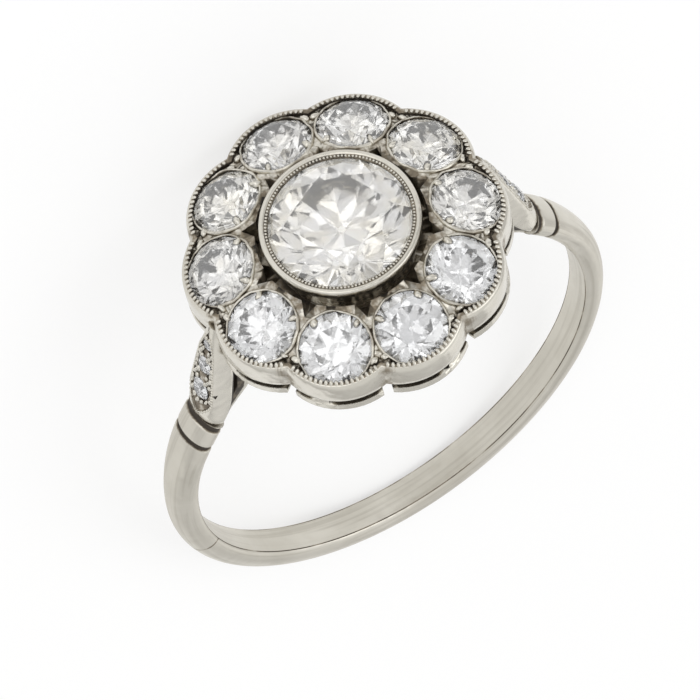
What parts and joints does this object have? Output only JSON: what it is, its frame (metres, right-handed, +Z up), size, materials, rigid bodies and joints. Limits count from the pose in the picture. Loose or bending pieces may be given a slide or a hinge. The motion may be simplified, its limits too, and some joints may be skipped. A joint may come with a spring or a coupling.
{
  "type": "cluster ring",
  "caption": "Cluster ring: a raised round centre stone within a scalloped ring of round stones, with a gallery rail, stone-set shoulders and a tapered shank.",
  "frame": {"origin": "centre of the bounding box on the surface that the ring lies on", "axes": "the ring lies on its side: +Y runs from the head to the back of the shank, +Z is up, +X is across the ring"},
  "size_m": [0.0192, 0.0228, 0.0124],
  "materials": {
    "platinum": "polished platinum, worn to a soft satin",
    "diamond": "clear cut stone with polished facets"
  },
  "bodies": {
    "root": {"ring_mount": "platinum", "center_stone": "diamond", "cluster_stone_01": "diamond", "cluster_stone_02": "diamond", "cluster_stone_03": "diamond", "cluster_stone_04": "diamond", "cluster_stone_05": "diamond", "cluster_stone_06": "diamond", "cluster_stone_07": "diamond", "cluster_stone_08": "diamond", "cluster_stone_09": "diamond", "cluster_stone_10": "diamond", "shoulder_stone_left_1": "diamond", "shoulder_stone_left_2": "diamond", "shoulder_stone_left_3": "diamond", "shoulder_stone_right_1": "diamond", "shoulder_stone_right_2": "diamond", "shoulder_stone_right_3": "diamond"}
  },
  "joints": []
}
